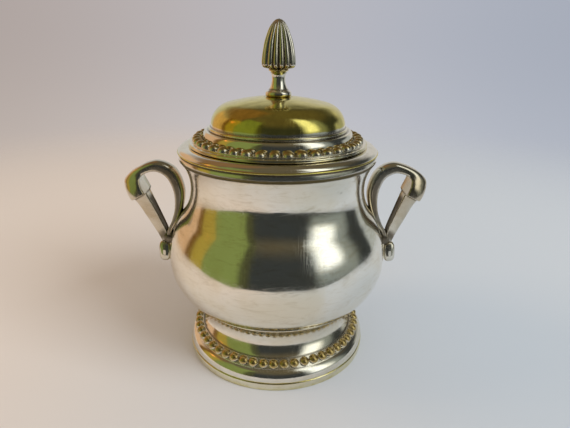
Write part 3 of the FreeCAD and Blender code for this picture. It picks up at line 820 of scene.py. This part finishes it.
FLOOR_FAR = 0.75                        # metres
NEAR_AZIMUTHS = (0, 40, 60, 80, 120, 180)           # degrees from the front, either way round
NEAR_REACH = (0.24, 0.27, 0.34, 0.45, 0.62, 0.66)   # metres
# painted light: the paper's colour carries the warm lamp at the left and the cool window at the right
FLOOR_LAMP_TINT, FLOOR_WINDOW_TINT = (0.84, 0.76, 0.69, 1.0), (0.68, 0.75, 0.82, 1.0)


def near_edge(angle):
    """How far the part of the floor that shows in the metal reaches, at an angle from +X."""
    azimuth = abs(math.degrees(math.atan2(math.cos(angle), -math.sin(angle))))
    return float(np.interp(azimuth, NEAR_AZIMUTHS, NEAR_REACH))


def floor_ring(name, inner, outer, material, glossy):
    """A flat ring between two edges, each of them a radius for an angle from +X."""
    around, rows = 144, 10
    verts = []
    for i in range(rows + 1):
        for j in range(around):
            a = TAU * j / around
            radius = inner(a) + (outer(a) - inner(a)) * i / rows
            verts.append((radius * math.cos(a), radius * math.sin(a), 0.0))
    mesh = bpy.data.meshes.new(name)
    mesh.from_pydata(verts, [], quads(0, rows + 1, around))
    made = bpy.data.objects.new(name, mesh)
    bpy.context.scene.collection.objects.link(made)
    mesh.materials.append(material)
    made.visible_glossy = glossy


def floor_material():
    """Matt paper with painted light, warm from the lamp at the left and cool from the window at the
    right, which fades out before its edge.
    """
    material = bpy.data.materials.new("floor_paper")
    g = Graph(material)
    where = g.add("TexCoord").outputs["Object"]
    parts = g.add("SeparateXYZ", {0: where})
    # painted light: warm at the left, cool at the right
    colour = g.mix(g.step(parts.outputs["X"], -0.16, 0.12), FLOOR_LAMP_TINT, FLOOR_WINDOW_TINT)
    matt = g.add("BsdfDiffuse", {"Color": colour, "Roughness": 0.4})
    clear = g.add("BsdfTransparent")
    away = g.add("VectorMath", {0: where}, operation="LENGTH").outputs["Value"]
    fade = g.step(away, 0.20, FLOOR_FAR * 0.9)
    paper = g.add("MixShader", {0: fade, 1: matt.outputs[0], 2: clear.outputs[0]})
    out = g.add("OutputMaterial")
    g.put(paper.outputs[0], out.inputs["Surface"])
    return material


floor_paper = floor_material()
floor_ring("floor_near", lambda angle: 0.0005, near_edge, floor_paper, True)
floor_ring("floor_far", near_edge, lambda angle: FLOOR_FAR, floor_paper, False)

# Panels of light round the table, seen only in the metal:
# (azimuth from the front towards +X, its half width, elevation, its half height, softness),
# in degrees, then the colour and how bright it is. Later panels lie over earlier ones.
ROOM_DARK, CEILING = linear(52, 55, 54), linear(94, 86, 66)
PANELS = [
    ((-125, 40, 52, 22, 20), linear(126, 96, 62), 1.0),      # warm ceiling above the lamp
    ((190, 56, -12, 42, 24), linear(198, 196, 192), 1.0),    # the pale wall behind
    ((-124, 20, -14, 44, 12), linear(206, 168, 130), 1.0),   # warm paper at the left
    ((-103, 5, 14, 26, 6), linear(112, 78, 34), 1.0),        # brown edge of the curtain
    ((-88, 11, 14, 26, 6), linear(162, 140, 58), 1.0),       # gold curtain
    ((-57, 22, 20, 34, 8), linear(122, 134, 72), 1.0),       # olive curtain
    ((-33, 5, 16, 28, 8), linear(70, 70, 44), 1.0),          # its shaded edge
    ((-93, 3, 31, 3, 5), linear(255, 160, 80), 1.5),         # lamp
    ((65, 25, 22, 31, 14), linear(132, 139, 134), 1.0),      # pale blind beside the window
    ((57, 14, 38, 29, 16), linear(244, 247, 240), 1.45),     # window
    ((128, 14, -14, 26, 8), linear(168, 172, 168), 1.0),     # pale paper at the right
]
# painted light on the backdrop: warm at the left, cool at the right, dimmer higher up
BACKDROP_LOW = (linear(199, 186, 175), linear(188, 193, 203))       # left, right
BACKDROP_HIGH = (linear(174, 162, 156), linear(169, 175, 188))
BACKDROP_EDGE, BACKDROP_GLOW = 0.97, 0.20       # its strength at the sides, and the painted glow that the middle adds
AMBIENT = (0.62, 0.56, 0.50, 1.0)


def panel_share(g, azimuth, height, place):
    """1 inside a panel and 0 outside it, with a soft edge."""
    middle, half, level, tall, soft = (math.radians(value) for value in place)
    off = g.math("SUBTRACT", azimuth, middle)
    off = g.math("ABSOLUTE", g.math("WRAP", off, math.pi, -math.pi))
    rise = g.math("ABSOLUTE", g.math("SUBTRACT", height, level))
    return g.math("MULTIPLY", g.step(off, half - soft / 2, half + soft / 2, 1.0, 0.0),
                  g.step(rise, tall - soft / 2, tall + soft / 2, 1.0, 0.0))


def room():
    """The world: panels for the metal, a backdrop for the camera with painted light, an even light for
    everything else."""
    world = bpy.data.worlds.new("room")
    bpy.context.scene.world = world
    g = Graph(world)
    way = g.add("SeparateXYZ", {0: g.add("TexCoord").outputs["Generated"]})
    azimuth = g.math("ARCTAN2", way.outputs["X"], g.math("MULTIPLY", way.outputs["Y"], -1.0))
    height = g.math("ARCSINE", way.outputs["Z"])
    seen = g.mix(g.step(height, 0.4, 1.0), ROOM_DARK, CEILING)
    for place, colour, power in PANELS:
        bright = tuple(v * power for v in colour[:3]) + (1.0,)
        seen = g.mix(panel_share(g, azimuth, height, place), seen, bright)
    # painted light: the backdrop warm at the left, cool at the right, dimmer higher up and glowing
    # brighter in the middle
    side = g.step(way.outputs["X"], -0.75, 0.65)
    above = g.step(way.outputs["Z"], -0.40, 0.05)
    backdrop = g.mix(above, g.mix(side, *BACKDROP_LOW), g.mix(side, *BACKDROP_HIGH))
    middle = g.math("MULTIPLY", g.math("MULTIPLY", side, 4.0), g.math("SUBTRACT", 1.0, side))
    glow = g.math("MULTIPLY_ADD", middle, BACKDROP_GLOW, BACKDROP_EDGE)
    path = g.add("LightPath")
    even = g.add("Background", {"Color": AMBIENT, "Strength": 0.80})
    shiny = g.add("Background", {"Color": seen, "Strength": 1.0})
    plain = g.add("Background", {"Color": backdrop, "Strength": glow})
    unseen = g.add("MixShader", {0: path.outputs["Is Glossy Ray"], 1: even.outputs[0],
                                 2: shiny.outputs[0]})
    whole = g.add("MixShader", {0: path.outputs["Is Camera Ray"], 1: unseen.outputs[0],
                                2: plain.outputs[0]})
    out = g.add("OutputWorld")
    g.put(whole.outputs[0], out.inputs["Surface"])


room()


def softbox(name, azimuth, elevation, size, power, colour):
    """A soft light that shades the floor; the metal sees the room's panels instead."""
    data = bpy.data.lights.new(name, "AREA")
    data.shape, data.size, data.size_y = "RECTANGLE", size, size
    data.energy, data.color = power, colour
    made = bpy.data.objects.new(name, data)
    bpy.context.scene.collection.objects.link(made)
    a, e = math.radians(azimuth), math.radians(elevation)
    way = Vector((math.sin(a) * math.cos(e), -math.cos(a) * math.cos(e), math.sin(e)))
    made.location = way * LIGHT_DISTANCE
    made.rotation_mode = "QUATERNION"
    made.rotation_quaternion = way.to_track_quat("Z", "Y")
    made.visible_glossy = False
    made.visible_camera = False


LIGHT_DISTANCE = 1.2        # metres
softbox("window_light", 58, 40, 0.6, 7.0, (0.86, 0.93, 1.0))
softbox("lamp_light", -95, 35, 0.5, 2.1, (1.0, 0.68, 0.40))

# ---- camera ---------------------------------------------------------------------------

CAMERA_PLACE = Vector((0.0, -0.1789, 0.1290))
PITCH, ROLL, YAW = math.radians(20.96), math.radians(0.82), math.radians(1.05)
LENS, SENSOR = 27.79, 36.0      # mm

forward = Vector((math.sin(YAW) * math.cos(PITCH), math.cos(YAW) * math.cos(PITCH), -math.sin(PITCH)))
level_right = Vector((math.cos(YAW), -math.sin(YAW), 0))
level_up = Vector((math.sin(YAW) * math.sin(PITCH), math.cos(YAW) * math.sin(PITCH), math.cos(PITCH)))
right = level_right * math.cos(ROLL) + level_up * math.sin(ROLL)
up = level_up * math.cos(ROLL) - level_right * math.sin(ROLL)
camera_data = bpy.data.cameras.new("camera")
camera_data.lens = LENS
camera_data.sensor_width = SENSOR
camera_data.clip_start = 0.01
camera = bpy.data.objects.new("camera", camera_data)
bpy.context.scene.collection.objects.link(camera)
camera.matrix_world = Matrix.Translation(CAMERA_PLACE) @ Matrix(
    (right, up, -forward)).transposed().to_4x4()
bpy.context.scene.camera = camera
bpy.context.scene.view_settings.view_transform = "Standard"
